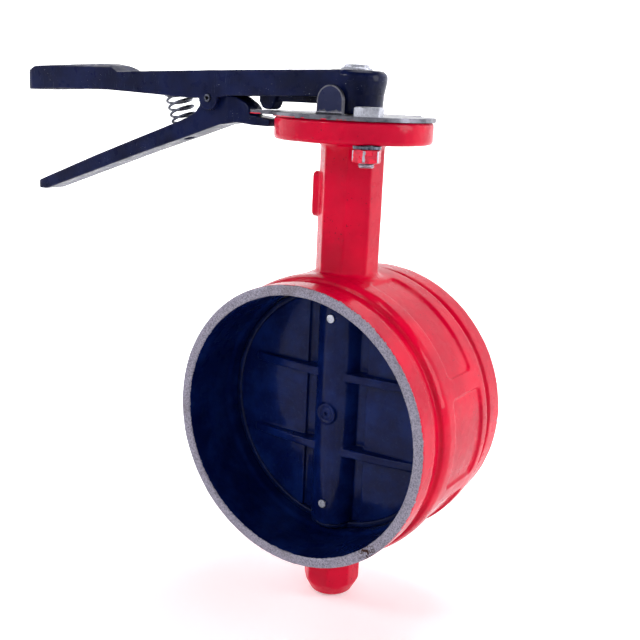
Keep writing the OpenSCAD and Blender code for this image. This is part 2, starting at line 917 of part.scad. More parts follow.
module coil(sides, per_turn) {
    rings = round(coil_turns * per_turn);
    points = [for (i = [0:rings]) each coil_ring(i / per_turn, sides)];
    walls = [for (i = [0:rings - 1], k = [0:sides - 1])
        let (n = (k + 1) % sides)
        [i * sides + k, (i + 1) * sides + k, (i + 1) * sides + n, i * sides + n]];
    caps = [
        [for (k = [0:sides - 1]) k],
        [for (k = [sides - 1:-1:0]) rings * sides + k]
    ];
    polyhedron(points = points, faces = concat(walls, caps), convexity = 8);
}

module latch_spring() {
    color("slategray")
        translate(spring_foot)
            rotate([0, -spring_tilt, 0])
                translate([0, 0, 0.05])
                    coil(10, 24);
}

valve_body();
disc();
disc_seal();
upper_stem();
lower_stem();
taper_pins();
upper_bush();
middle_bush();
lower_bush();
upper_o_rings();
lower_o_ring();
thrust_washer();
stem_circlip();
notch_plate();
plate_bolts();
plate_flat_washers();
plate_spring_washers();
plate_nuts();
lever();
lever_bolt();
lever_washer();
latch_trigger();
trigger_pin();
latch_spring();
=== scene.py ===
"""Looks of the grooved-end butterfly valve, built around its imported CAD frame.

Everything is in metres in the CAD frame: pipe axis along Y with the front end at -Y,
stem axis along Z, and the closed lever pointing to -X.
"""

import math

import bpy
from mathutils import Matrix, Vector


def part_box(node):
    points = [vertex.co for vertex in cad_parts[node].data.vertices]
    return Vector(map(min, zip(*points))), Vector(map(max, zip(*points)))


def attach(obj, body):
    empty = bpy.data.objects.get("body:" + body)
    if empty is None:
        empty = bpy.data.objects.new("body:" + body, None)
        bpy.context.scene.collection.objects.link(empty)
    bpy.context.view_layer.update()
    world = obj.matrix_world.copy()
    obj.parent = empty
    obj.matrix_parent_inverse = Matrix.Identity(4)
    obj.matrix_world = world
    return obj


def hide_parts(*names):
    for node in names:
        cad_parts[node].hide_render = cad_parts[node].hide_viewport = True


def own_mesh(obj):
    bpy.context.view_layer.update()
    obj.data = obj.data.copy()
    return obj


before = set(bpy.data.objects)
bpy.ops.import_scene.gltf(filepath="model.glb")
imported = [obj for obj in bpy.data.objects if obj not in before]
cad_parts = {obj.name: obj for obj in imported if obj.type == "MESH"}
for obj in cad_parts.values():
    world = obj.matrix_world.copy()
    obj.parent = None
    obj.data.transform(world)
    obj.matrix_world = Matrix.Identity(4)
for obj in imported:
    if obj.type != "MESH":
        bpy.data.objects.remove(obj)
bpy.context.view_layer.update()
SCENE = bpy.context.scene
MM = 0.001
TAU = 2 * math.pi

# ---------- sizes read back from the frame ----------

BODY_LOW, BODY_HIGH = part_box("valve_body")
PLATE_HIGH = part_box("notch_plate")[1]
BOLT_LOW, BOLT_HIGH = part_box("plate_bolts")
NUT_LOW, NUT_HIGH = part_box("plate_nuts")
SPLIT_LOW, SPLIT_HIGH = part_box("plate_spring_washers")
LEVER_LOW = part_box("lever")[0]
WASHER_LOW, WASHER_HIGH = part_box("lever_washer")
CAP_LOW, CAP_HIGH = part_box("lever_bolt")

HALF_LENGTH = BODY_HIGH.y
BORE_R = 101.25 * MM
PLATE_TOP = LEVER_LOW.z - 0.5 * MM      # the lever's guide lug runs this far above the notch plate
BOLT_CIRCLE = 51 * MM
BOLT_ANGLES = (-47.5, 132.5)
BOLT_CENTRES = [
    Vector((BOLT_CIRCLE * math.cos(math.radians(a)), BOLT_CIRCLE * math.sin(math.radians(a)), 0))
    for a in BOLT_ANGLES
]


# ---------- a small builder for node materials ----------

class Finish:
    """One Principled material whose inputs are built from procedural nodes in object space."""

    def __init__(self, name, **constants):
        self.material = bpy.data.materials.new(name)
        self.material.use_nodes = True
        self.tree = self.material.node_tree
        self.shader = self.tree.nodes["Principled BSDF"]
        coords = self.tree.nodes.new("ShaderNodeTexCoord")
        self.place = coords.outputs["Object"]
        for socket, value in constants.items():
            self.shader.inputs[socket.replace("_", " ")].default_value = value

    def _feed(self, socket, value):
        if isinstance(value, bpy.types.NodeSocket):
            self.tree.links.new(value, socket)
        elif isinstance(value, tuple) and len(value) == 3 and socket.type == "RGBA":
            socket.default_value = (*value, 1)
        else:
            socket.default_value = value

    def math(self, operation, a, b=0.0, clamp=False):
        node = self.tree.nodes.new("ShaderNodeMath")
        node.operation = operation
        node.use_clamp = clamp
        self._feed(node.inputs[0], a)
        self._feed(node.inputs[1], b)
        return node.outputs[0]

    def xyz(self):
        node = self.tree.nodes.new("ShaderNodeSeparateXYZ")
        self._feed(node.inputs[0], self.place)
        return node.outputs[0], node.outputs[1], node.outputs[2]

    def stretched(self, scale):
        """Object coordinates scaled differently along each axis, for streaks."""
        node = self.tree.nodes.new("ShaderNodeMapping")
        self._feed(node.inputs["Vector"], self.place)
        node.inputs["Scale"].default_value = scale
        return node.outputs[0]

    def noise(self, size_mm, detail=4.0, roughness=0.55, where=None):
        """Noise whose features are about size_mm across, from 0 to 1."""
        node = self.tree.nodes.new("ShaderNodeTexNoise")
        self._feed(node.inputs["Vector"], where or self.place)
        node.inputs["Scale"].default_value = 1000 / size_mm
        node.inputs["Detail"].default_value = detail
        node.inputs["Roughness"].default_value = roughness
        return node.outputs[0]

    def fit(self, value, low, high, to_low=0.0, to_high=1.0):
        """Maps low..high to to_low..to_high with smooth ends, held outside."""
        node = self.tree.nodes.new("ShaderNodeMapRange")
        node.interpolation_type = "SMOOTHSTEP"
        self._feed(node.inputs["Value"], value)
        node.inputs["From Min"].default_value = low
        node.inputs["From Max"].default_value = high
        node.inputs["To Min"].default_value = to_low
        node.inputs["To Max"].default_value = to_high
        return node.outputs[0]

    def mix(self, share, a, b):
        """Colour a where share is 0 and b where it is 1."""
        node = self.tree.nodes.new("ShaderNodeMix")
        node.data_type = "RGBA"
        self._feed(node.inputs["Factor"], share)
        self._feed(node.inputs[6], a)
        self._feed(node.inputs[7], b)
        return node.outputs[2]

    def blend(self, share, a, b):
        """Number a where share is 0 and b where it is 1."""
        node = self.tree.nodes.new("ShaderNodeMix")
        node.data_type = "FLOAT"
        self._feed(node.inputs["Factor"], share)
        self._feed(node.inputs[2], a)
        self._feed(node.inputs[3], b)
        return node.outputs[0]

    def bump(self, height, depth_mm, under=None):
        node = self.tree.nodes.new("ShaderNodeBump")
        node.inputs["Strength"].default_value = 1.0
        node.inputs["Distance"].default_value = depth_mm * MM
        self._feed(node.inputs["Height"], height)
        if under is not None:
            self._feed(node.inputs["Normal"], under)
        return node.outputs[0]

    def set(self, socket, value):
        self._feed(self.shader.inputs[socket], value)

    def both(self, a, b):
        return self.math("MULTIPLY", a, b, clamp=True)

    def either(self, a, b):
        return self.math("MAXIMUM", a, b, clamp=True)

    def neither(self, a):
        return self.math("SUBTRACT", 1.0, a, clamp=True)

    def distance_to(self, point, axes="xyz"):
        """Distance in metres from a point, measured along the named axes only."""
        total = None
        for axis, value, centre in zip("xyz", self.xyz(), point):
            if axis in axes:
                step = self.math("SUBTRACT", value, centre)
                square = self.math("MULTIPLY", step, step)
                total = square if total is None else self.math("ADD", total, square)
        return self.math("SQRT", total)


RED = (0.66, 0.0006, 0.030)
RED_DEEP = (0.48, 0.0004, 0.024)
RED_FRESH = (0.82, 0.003, 0.040)
NAVY = (0.0010, 0.0045, 0.045)
NAVY_LIGHT = (0.003, 0.012, 0.085)
BARE_IRON = (0.36, 0.34, 0.41)
BARE_IRON_DARK = (0.14, 0.13, 0.17)
RUST = (0.045, 0.022, 0.018)
ZINC = (0.46, 0.47, 0.53)
ZINC_DULL = (0.30, 0.31, 0.36)


def body_finish():
    """Red epoxy outside, dark coating inside, bare machined end rings with a ragged paint edge."""
    f = Finish("red_epoxy_body", Coat_Roughness=0.06, Coat_IOR=1.35, Specular_IOR_Level=0.02)
    y = f.xyz()[1]
    radius = f.distance_to((0, 0, 0), "xz")
    along = f.math("ABSOLUTE", y)

    chips = f.fit(f.noise(7, 3, 0.6), 0.54, 0.72, 0.0, 2.6 * MM)
    nibble = f.fit(f.noise(1.6, 3, 0.6), 0.35, 0.65, 0.0, 0.5 * MM)
    paint_edge = f.math("SUBTRACT", HALF_LENGTH - 0.75 * MM, f.math("ADD", chips, nibble))
    near_end = f.math("GREATER_THAN", along, paint_edge)
    outside_bore = f.math("GREATER_THAN", radius, BORE_R + 0.05 * MM)
    bare = f.both(near_end, outside_bore)
    inside = f.math("LESS_THAN", radius, BORE_R + 0.75 * MM)
    inside = f.both(inside, f.neither(bare))

    cloud = f.noise(45, 3)
    red = f.mix(f.fit(cloud, 0.35, 0.7), RED_DEEP, RED)
    red = f.mix(f.fit(f.noise(9, 4), 0.55, 0.8, 0, 0.35), red, RED_FRESH)
    specks = f.both(f.fit(f.noise(1.7, 2), 0.67, 0.73), f.fit(f.noise(30, 2), 0.50, 0.60))
    red = f.mix(specks, red, (0.045, 0.004, 0.008))

    machined = f.noise(1.1, 5, 0.7)
    iron = f.mix(f.fit(machined, 0.35, 0.7), BARE_IRON, BARE_IRON_DARK)
    pits = f.fit(f.noise(0.9, 2), 0.66, 0.73)
    iron = f.mix(pits, iron, (0.03, 0.026, 0.034))
    patch = f.fit(f.distance_to((0.070, -HALF_LENGTH, -0.0800)), 0.004, 0.012, 1, 0)
    patch = f.both(patch, f.fit(f.noise(2.4, 4), 0.44, 0.56))
    iron = f.mix(patch, iron, RUST)
    stain = f.fit(f.noise(26, 3), 0.55, 0.75, 0, 0.5)
    iron = f.mix(stain, iron, (0.16, 0.13, 0.14))

    coating = f.mix(f.fit(f.noise(28, 3), 0.4, 0.7), NAVY, NAVY_LIGHT)

    colour = f.mix(inside, red, coating)
    colour = f.mix(bare, colour, iron)
    f.set("Base Color", colour)
    f.set("Metallic", f.math("MULTIPLY", bare, 0.55))
    paint_rough = f.fit(f.noise(16, 4), 0.3, 0.7, 0.22, 0.38)
    f.set("Roughness", f.blend(bare, paint_rough, f.fit(machined, 0.3, 0.7, 0.42, 0.62)))
    f.set("Coat Weight", f.math("MULTIPLY", f.both(f.neither(bare), f.neither(inside)), 0.42))

    peel = f.bump(f.noise(3.2, 2, 0.5), 0.09)
    lumps = f.bump(f.noise(14, 3, 0.5), 0.40, peel)
    grain = f.bump(f.math("MULTIPLY", f.noise(0.8, 3, 0.6), bare), 0.06, lumps)
    edge_step = f.bump(f.neither(bare), 0.18, grain)
    f.set("Normal", edge_step)
    return f.material


def coating_finish():
    """Dark navy coating over a sand casting, semi gloss with a fine grain."""
    f = Finish("disc_coating_cast", Coat_Roughness=0.10, Coat_IOR=1.38, Specular_IOR_Level=0.03)
    grain = f.noise(2.6, 4, 0.6)
    colour = f.mix(f.fit(f.noise(22, 3), 0.35, 0.7), NAVY, NAVY_LIGHT)
    colour = f.mix(f.fit(grain, 0.55, 0.75, 0, 0.5), colour, (0.010, 0.024, 0.090))
    f.set("Base Color", colour)
    f.set("Roughness", f.fit(f.noise(6, 4), 0.3, 0.7, 0.26, 0.46))
    f.shader.inputs["Coat Weight"].default_value = 0.34
    sand = f.bump(grain, 0.26)
    f.set("Normal", f.bump(f.noise(11, 3), 0.42, sand))
    return f.material


def rim_finish():
    """Moulded rubber of the disc's rim, smooth with a faint bloom."""
    f = Finish("rim_rubber_moulded", Specular_IOR_Level=0.15)
    bloom = f.noise(8, 5, 0.6)
    f.set("Base Color", f.mix(f.fit(bloom, 0.4, 0.75), (0.0012, 0.0045, 0.036), (0.004, 0.012, 0.070)))
    f.set("Roughness", f.fit(bloom, 0.3, 0.7, 0.30, 0.50))
    f.set("Normal", f.bump(f.noise(2.0, 3), 0.04))
    return f.material


def lever_finish():
    """Blue-black enamel on a casting, with dust, rub marks and soft lumps."""
    f = Finish("lever_enamel", Coat_Roughness=0.10, Coat_IOR=1.35, Specular_IOR_Level=0.04)
    cloud = f.noise(24, 4)
    colour = f.mix(f.fit(cloud, 0.35, 0.7), (0.0015, 0.0035, 0.024), (0.004, 0.008, 0.048))
    streaks = f.noise(2.2, 4, 0.6, f.stretched((1.6, 1.0, 0.25)))
    rubbed = f.both(f.fit(streaks, 0.60, 0.74), f.fit(f.noise(35, 2), 0.45, 0.62))
    colour = f.mix(f.math("MULTIPLY", rubbed, 0.35), colour, (0.07, 0.09, 0.16))
    dust = f.both(f.fit(f.noise(1.1, 1), 0.72, 0.77), f.fit(f.noise(18, 2), 0.50, 0.60))
    colour = f.mix(dust, colour, (0.22, 0.24, 0.30))
    f.set("Base Color", colour)
    f.set("Roughness", f.fit(f.noise(9, 5, 0.6), 0.3, 0.7, 0.24, 0.44))
    f.shader.inputs["Coat Weight"].default_value = 0.26
    peel = f.bump(f.noise(2.6, 3), 0.06)
    f.set("Normal", f.bump(f.noise(12, 3), 0.28, peel))
    return f.material


def plate_finish():
    """Dulled zinc plate with red overspray on its front rim and a dark blue patch on the upper front face of
    the stop tab, inset from its edges.
    """
    f = Finish("plate_zinc_sprayed", Specular_IOR_Level=0.3)
    x, y, z = f.xyz()
    radius = f.distance_to((0, 0, 0), "xy")
    grime = f.noise(7, 5, 0.65)
    zinc = f.mix(f.fit(grime, 0.40, 0.72), (0.17, 0.17, 0.20), (0.06, 0.06, 0.075))
    fine = f.noise(0.9, 2, 0.5, f.stretched((1, 5, 1)))
    zinc = f.mix(f.fit(fine, 0.60, 0.75, 0, 0.6), zinc, (0.10, 0.10, 0.13))

    rim = f.fit(radius, 55.0 * MM, 60.0 * MM)
    front = f.fit(f.math("ADD", f.math("MULTIPLY", x, 0.45), y), -36 * MM, -28 * MM, 1, 0)
    right = f.fit(x, 20 * MM, 36 * MM, 1, 0)
    low = f.fit(z, PLATE_TOP - 0.6 * MM, PLATE_TOP - 0.1 * MM, 1, 0)
    wet = f.fit(f.math("ADD", f.noise(9, 4, 0.6), f.math("MULTIPLY", low, 0.22)), 0.50, 0.58)
    not_tab = f.fit(z, PLATE_TOP + 0.5 * MM, PLATE_TOP + MM, 1, 0)
    spray = f.both(f.both(rim, f.both(front, right)), f.both(wet, not_tab))

    # A dark blue patch on the stop tab's front face: above its bend, inset about a millimetre from its
    # edges, thinner in places.
    tab_x, tab_half, arch_z = -4.75 * MM, 11.25 * MM, PLATE_HIGH.z - 11.25 * MM
    above = f.math("MAXIMUM", f.math("SUBTRACT", z, arch_z), 0.0)
    aside = f.math("SUBTRACT", x, tab_x)
    above_squared = f.math("MULTIPLY", above, above)
    aside_squared = f.math("MULTIPLY", aside, aside)
    from_arch = f.math("SQRT", f.math("ADD", above_squared, aside_squared))
    inside_edge = f.fit(from_arch, tab_half - 1.3 * MM, tab_half - 0.7 * MM, 1, 0)
    face = f.both(f.fit(y, -27.85 * MM, -27.6 * MM, 1, 0), f.fit(y, -28.6 * MM, -28.3 * MM))
    risen = f.math("ADD", z, f.fit(f.noise(5, 3), 0.3, 0.7, -1.2 * MM, 1.2 * MM))
    tab_dark_patch = f.both(f.both(face, inside_edge), f.fit(risen, PLATE_TOP + 5 * MM, PLATE_TOP + 6.5 * MM))
    tab_dark_patch = f.both(tab_dark_patch, f.fit(f.noise(3, 5, 0.65), 0.62, 0.74, 1, 0.25))

    colour = f.mix(spray, zinc, RED)
    f.set("Base Color", f.mix(tab_dark_patch, colour, (0.004, 0.009, 0.060)))
    f.set("Metallic", f.neither(f.either(spray, tab_dark_patch)))
    f.set("Roughness", f.blend(spray, f.fit(grime, 0.3, 0.7, 0.26, 0.46), 0.32))
    f.set("Normal", f.bump(f.noise(1.3, 3, 0.6), 0.03))
    return f.material


def zinc_finish(name, bright=1.0):
    """Zinc-plated hardware, slightly streaked and dulled."""
    f = Finish(name, IOR=1.5)
    grime = f.noise(4, 5, 0.65)
    high = tuple(c * bright for c in ZINC)
    f.set("Base Color", f.mix(f.fit(grime, 0.40, 0.72), high, ZINC_DULL))
    f.shader.inputs["Metallic"].default_value = 1.0
    f.set("Roughness", f.fit(f.noise(2.0, 4), 0.3, 0.7, 0.24, 0.45))
    f.set("Normal", f.bump(f.noise(0.9, 3, 0.6), 0.025))
    return f.material


def painted_nut_finish():
    """Zinc nut that was sprayed red in place, with bare metal on its worn corners only."""
    f = Finish("painted_nut_worn", IOR=1.5)
    nearest = f.math(
        "MINIMUM",
        f.distance_to(BOLT_CENTRES[0], "xy"),
        f.distance_to(BOLT_CENTRES[1], "xy"),
    )
    worn = f.math("ADD", nearest, f.fit(f.noise(4, 3, 0.5), 0.3, 0.7, -0.25 * MM, 0.25 * MM))
    bare = f.fit(worn, 10.45 * MM, 10.65 * MM)
    red = f.mix(f.fit(f.noise(5, 4), 0.35, 0.7), RED_DEEP, RED_FRESH)
    f.set("Base Color", f.mix(bare, red, ZINC))
    f.set("Metallic", bare)
    f.set("Roughness", f.fit(f.noise(3, 4), 0.3, 0.7, 0.24, 0.42))
    f.set("Normal", f.bump(f.noise(1.6, 3), 0.06))
    return f.material


def dark_steel_finish():
    """Oiled spring steel."""
    f = Finish("spring_steel_oiled", IOR=1.5)
    f.set("Base Color", f.mix(f.fit(f.noise(3, 4), 0.35, 0.7), (0.05, 0.055, 0.08), (0.14, 0.15, 0.19)))
    f.shader.inputs["Metallic"].default_value = 0.9
    f.set("Roughness", f.fit(f.noise(1.5, 3), 0.3, 0.7, 0.24, 0.42))
    f.set("Normal", f.bump(f.noise(0.7, 2), 0.012))
    return f.material


def stem_finish():
    """Ground stainless steel with turning marks round the stem."""
    f = Finish("stem_steel_ground", IOR=1.5)
    lines = f.noise(0.8, 3, 0.6, f.stretched((0.15, 0.15, 3)))
    f.set("Base Color", f.mix(f.fit(lines, 0.4, 0.7), (0.60, 0.60, 0.62), (0.44, 0.44, 0.47)))
    f.shader.inputs["Metallic"].default_value = 1.0
    f.set("Roughness", f.fit(lines, 0.3, 0.7, 0.20, 0.36))
    f.set("Normal", f.bump(lines, 0.01))
    return f.material


def bronze_finish():
    """Sintered bronze, with fine open pores."""
    f = Finish("bush_bronze_sintered", IOR=1.5)
    pores = f.noise(0.6, 3, 0.6)
    f.set("Base Color", f.mix(f.fit(pores, 0.55, 0.72), (0.58, 0.36, 0.13), (0.22, 0.13, 0.05)))
    f.shader.inputs["Metallic"].default_value = 0.95
    f.set("Roughness", f.fit(f.noise(3, 3), 0.3, 0.7, 0.30, 0.50))
    f.set("Normal", f.bump(pores, 0.03))
    return f.material


def nitrile_finish():
    """Black nitrile rubber."""
    f = Finish("seal_nitrile", IOR=1.5)
    bloom = f.noise(3, 4)
    f.set("Base Color", f.mix(f.fit(bloom, 0.4, 0.75), (0.010, 0.010, 0.011), (0.030, 0.030, 0.033)))
    f.set("Roughness", f.fit(bloom, 0.3, 0.7, 0.42, 0.62))
    f.set("Normal", f.bump(f.noise(0.9, 2), 0.02))
    return f.material


def floor_finish():
    """Plain pale floor, very slightly mottled, glowing behind the valve as the camera sees it."""
    f = Finish("pale_floor", IOR=1.45)
    x, y = f.xyz()[:2]
    pale = f.mix(f.noise(400, 3), (0.93, 0.93, 0.94), (0.90, 0.90, 0.915))
    f.set("Base Color", pale)
    f.set("Emission Color", pale)
    behind = f.math("ADD", f.math("MULTIPLY", x, -0.54), f.math("MULTIPLY", y, 0.84))
    f.set("Emission Strength", f.fit(behind, -0.25, 0.55, 0.10, 0.95))
    f.shader.inputs["Roughness"].default_value = 0.85
    return f.material


BODY_FINISH = body_finish()
COATING = coating_finish()
RIM = rim_finish()
ENAMEL = lever_finish()
PLATE = plate_finish()
HARDWARE = zinc_finish("bolt_zinc_plated")
PIN_STEEL = zinc_finish("pin_bright_steel", 1.25)
NUT = painted_nut_finish()
DARK_STEEL = dark_steel_finish()
STEM = stem_finish()
BRONZE = bronze_finish()
NITRILE = nitrile_finish()


# ---------- mesh helpers ----------

def shade(obj, angle=35):
    """Smooth shading that keeps edges sharper than angle degrees."""
    obj.data.shade_smooth()
    obj.data.set_sharp_from_angle(angle=math.radians(angle))


def piece(name, mesh, body, material, nodes=()):
    """Makes an object that rides a body, takes a finish and stands for CAD nodes."""
    obj = bpy.data.objects.new(name, mesh)
    SCENE.collection.objects.link(obj)
    mesh.materials.clear()
    mesh.materials.append(material)
    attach(obj, body)
    if nodes:
        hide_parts(*nodes)
    return obj


def mesh_from(name, points, faces):
    mesh = bpy.data.meshes.new(name)
    mesh.from_pydata([tuple(p) for p in points], [], faces)
    mesh.validate()
    mesh.update()
    return mesh


def joined(name, parts):
    """One mesh from several (points, faces) parts."""
    points = []
    faces = []
    for part_points, part_faces in parts:
        base = len(points)
        points += list(part_points)
        faces += [tuple(i + base for i in face) for face in part_faces]
    return mesh_from(name, points, faces)


def cast_skin(name, node, voxel_mm, smooth_steps, body, material, lump_mm=0.0):
    """A softened copy of a CAD casting: its sharp corners get the small radii of a real one."""
    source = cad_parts[node]
    obj = bpy.data.objects.new(name, source.data.copy())
    SCENE.collection.objects.link(obj)
    weld = obj.modifiers.new("weld", "WELD")
    weld.merge_threshold = 0.002 * MM
    remesh = obj.modifiers.new("remesh", "REMESH")
    remesh.mode = "VOXEL"
    remesh.voxel_size = voxel_mm * MM
    smooth = obj.modifiers.new("smooth", "SMOOTH")
    smooth.factor = 0.5
    smooth.iterations = smooth_steps
    if lump_mm:
        texture = bpy.data.textures.new(name + "_lumps", "CLOUDS")
        texture.noise_scale = 0.016
        lumps = obj.modifiers.new("lumps", "DISPLACE")
        lumps.texture = texture
        lumps.strength = lump_mm * MM
        lumps.mid_level = 0.5
    bpy.context.view_layer.update()
    graph = bpy.context.evaluated_depsgraph_get()
    mesh = bpy.data.meshes.new_from_object(obj.evaluated_get(graph))
    bpy.data.objects.remove(obj)
    mesh.name = name
    mesh.shade_smooth()
    return piece(name, mesh, body, material, [node])


def ring_faces(rings, count):
    """Quads between consecutive closed rings of count points each."""
    faces = []
    for r in range(rings - 1):
        for i in range(count):
            j = (i + 1) % count
            faces.append((r * count + i, r * count + j, (r + 1) * count + j, (r + 1) * count + i))
    return faces


def hex_radius(angle, across_flats, soften=0.985):
    """Distance from the axis to a hexagon's side at an angle, its corners slightly rounded."""
    turn = (angle + math.pi / 6) % (math.pi / 3) - math.pi / 6
    flat = across_flats / 2 / math.cos(turn)
    corner = across_flats / 2 / math.cos(math.pi / 6) * soften
    return min(flat, corner)


def hex_head(centre, low, high, across_flats, turn_deg, hole_r=0.0, both_ends=False):
    """A hexagon head or nut with turned chamfers, as points and faces."""
    count = 120
    face_r = across_flats / 2 * 0.95
    slope = math.tan(math.radians(30))
    start = hole_r or 0.5 * MM
    height = high - low

    def chamfer(radius):
        return max(0.0, radius - face_r) * slope

    radii = [hex_radius(TAU * i / count, across_flats) for i in range(count)]
    levels = [
        [(start, 0.0)] * count,
        [(face_r if both_ends else r, 0.0) for r in radii],
        [(r, chamfer(r) if both_ends else 0.0) for r in radii],
        [(r, height - chamfer(r)) for r in radii],
        [(face_r, height)] * count,
        [(start, height)] * count,
    ]
    turn = math.radians(turn_deg)
    points = []
    for level in levels:
        for i, (radius, z) in enumerate(level):
            a = TAU * i / count + turn
            points.append((centre[0] + radius * math.cos(a), centre[1] + radius * math.sin(a), low + z))
    faces = ring_faces(len(levels), count)
    last = (len(levels) - 1) * count
    if hole_r:
        faces += [(last + i, last + (i + 1) % count, (i + 1) % count, i) for i in range(count)]
    else:
        faces.append(tuple(range(count - 1, -1, -1)))
        faces.append(tuple(last + i for i in range(count)))
    return points, faces


def threaded_rod(centre, low, high, radius, pitch, depth):
    """A rod with a screw thread, its lower end chamfered, as points and faces."""
    around = 48
    rows = max(8, int((high - low) / pitch * 12))
    points = []
    for row in range(rows + 1):
        z = low + (high - low) * row / rows
        for i in range(around):
            a = TAU * i / around
            phase = ((z - low) / pitch - i / around) % 1.0
            tooth = abs(phase - 0.5) * 2
            r = radius - depth * min(1.0, tooth * 1.25)
            r = min(r, radius - depth * 1.4 + (z - low))
            points.append((centre[0] + r * math.cos(a), centre[1] + r * math.sin(a), z))
    faces = ring_faces(rows + 1, around)
    faces.append(tuple(range(around - 1, -1, -1)))
    faces.append(tuple(rows * around + i for i in range(around)))
    return points, faces


def flat_ring(centre, low, high, outer, inner, edge=0.3 * MM):
    """A washer with its edges broken, as points and faces."""
    count = 96
    section = [
        (inner, low + edge), (inner + edge, low), (outer - edge, low), (outer, low + edge),
        (outer, high - edge), (outer - edge, high), (inner + edge, high), (inner, high - edge),
    ]
    points = []
    for radius, z in section:
        for i in range(count):
            a = TAU * i / count
            points.append((centre[0] + radius * math.cos(a), centre[1] + radius * math.sin(a), z))
    faces = ring_faces(len(section), count)
    last = (len(section) - 1) * count
    faces += [(last + i, last + (i + 1) % count, (i + 1) % count, i) for i in range(count)]
    return points, faces


def split_ring(centre, low, high, outer, inner, gap_at_deg):
    """A spring washer: one open turn that rises a little from end to end."""
    count = 90
    gap = math.radians(5)
    rise = 0.35 * MM
    edge = 0.2 * MM
    section = [
        (inner, edge), (inner + edge, 0), (outer - edge, 0), (outer, edge),
        (outer, -edge), (outer - edge, 0), (inner + edge, 0), (inner, -edge),
    ]
    thick = high - low - rise
    points = []
    for k in range(count):
        t = k / (count - 1)
        a = math.radians(gap_at_deg) + gap + (TAU - 2 * gap) * t
        for s, (radius, dz) in enumerate(section):
            z = low + rise * t + dz + (thick if s >= 4 else 0)
            points.append((centre[0] + radius * math.cos(a), centre[1] + radius * math.sin(a), z))
    n = len(section)
    faces = ring_faces(count, n)
    faces.append(tuple(range(n - 1, -1, -1)))
    faces.append(tuple((count - 1) * n + i for i in range(n)))
    return points, faces


# ---------- the castings ----------

def make_castings():
    """Softened copies of the five cast or moulded parts."""
    cast_skin("valve_casting", "valve_body", 1.05, 3, "body", BODY_FINISH, 0.35)
    cast_skin("disc_casting", "disc", 0.8, 3, "disc_and_lever", COATING, 0.25)
    cast_skin("disc_rim_rubber", "disc_seal", 0.8, 2, "disc_and_lever", RIM)
    cast_skin("lever_casting", "lever", 0.75, 4, "disc_and_lever", ENAMEL, 0.3)
    cast_skin("trigger_casting", "latch_trigger", 0.7, 4, "trigger", ENAMEL, 0.25)


# ---------- hardware ----------

BOLT_FLATS = 19 * MM
BOLT_THREAD = (5.97 * MM, 1.75 * MM, 0.75 * MM)      # radius, pitch and depth
NUT_HOLE_R = 6 * MM
SPLIT_RADII = (10.2 * MM, 6.3 * MM)                  # outer and inner
CAP_FLATS = 17 * MM
CAP_THREAD = (4.97 * MM, 1.5 * MM, 0.65 * MM)
CAP_WASHER_RADII = (12 * MM, 5.4 * MM)
ROD_OVERLAP = 0.5 * MM                               # how far a thread runs up into its own head
HEAD_TURNS = (12, 27)                                # degrees each plate bolt's head is turned


def make_hardware():
    """Bolts, nuts and washers in place of the CAD's plain ones."""
    heads = []
    nuts = []
    splits = []
    for turn, centre in zip(HEAD_TURNS, BOLT_CENTRES):
        heads.append(hex_head(centre, PLATE_TOP, BOLT_HIGH.z, BOLT_FLATS, turn))
        heads.append(threaded_rod(centre, BOLT_LOW.z, PLATE_TOP + ROD_OVERLAP, *BOLT_THREAD))
        nuts.append(hex_head(centre, NUT_LOW.z, NUT_HIGH.z, BOLT_FLATS, turn + 8, NUT_HOLE_R, True))
        splits.append(split_ring(centre, SPLIT_LOW.z, SPLIT_HIGH.z, *SPLIT_RADII, 200))
    made = [
        piece("flange_bolts", joined("flange_bolts", heads), "body", HARDWARE, ["plate_bolts"]),
        piece("flange_nuts", joined("flange_nuts", nuts), "body", NUT, ["plate_nuts"]),
        piece("split_washers", joined("split_washers", splits), "body", DARK_STEEL,
              ["plate_spring_washers"]),
    ]
    axis = Vector((0, 0, 0))
    cap = [
        hex_head(axis, WASHER_HIGH.z, CAP_HIGH.z, CAP_FLATS, 8),
        threaded_rod(axis, CAP_LOW.z, WASHER_HIGH.z + ROD_OVERLAP, *CAP_THREAD),
    ]
    made.append(piece("lever_cap_bolt", joined("lever_cap_bolt", cap), "disc_and_lever",
                      HARDWARE, ["lever_bolt"]))
    washer = [flat_ring(axis, WASHER_LOW.z, WASHER_HIGH.z, *CAP_WASHER_RADII)]
    made.append(piece("lever_cap_washer", joined("lever_cap_washer", washer), "disc_and_lever",
                      HARDWARE, ["lever_washer"]))
    for obj in made:
        shade(obj)


# ---------- latch spring ----------

SPRING_TILT = math.radians(20.5)
SPRING_FOOT = Vector((-167, 0, 217.85)) * MM
SPRING_LENGTH = 29.6 * MM
SPRING_AXIS = Vector((-math.sin(SPRING_TILT), 0, math.cos(SPRING_TILT)))


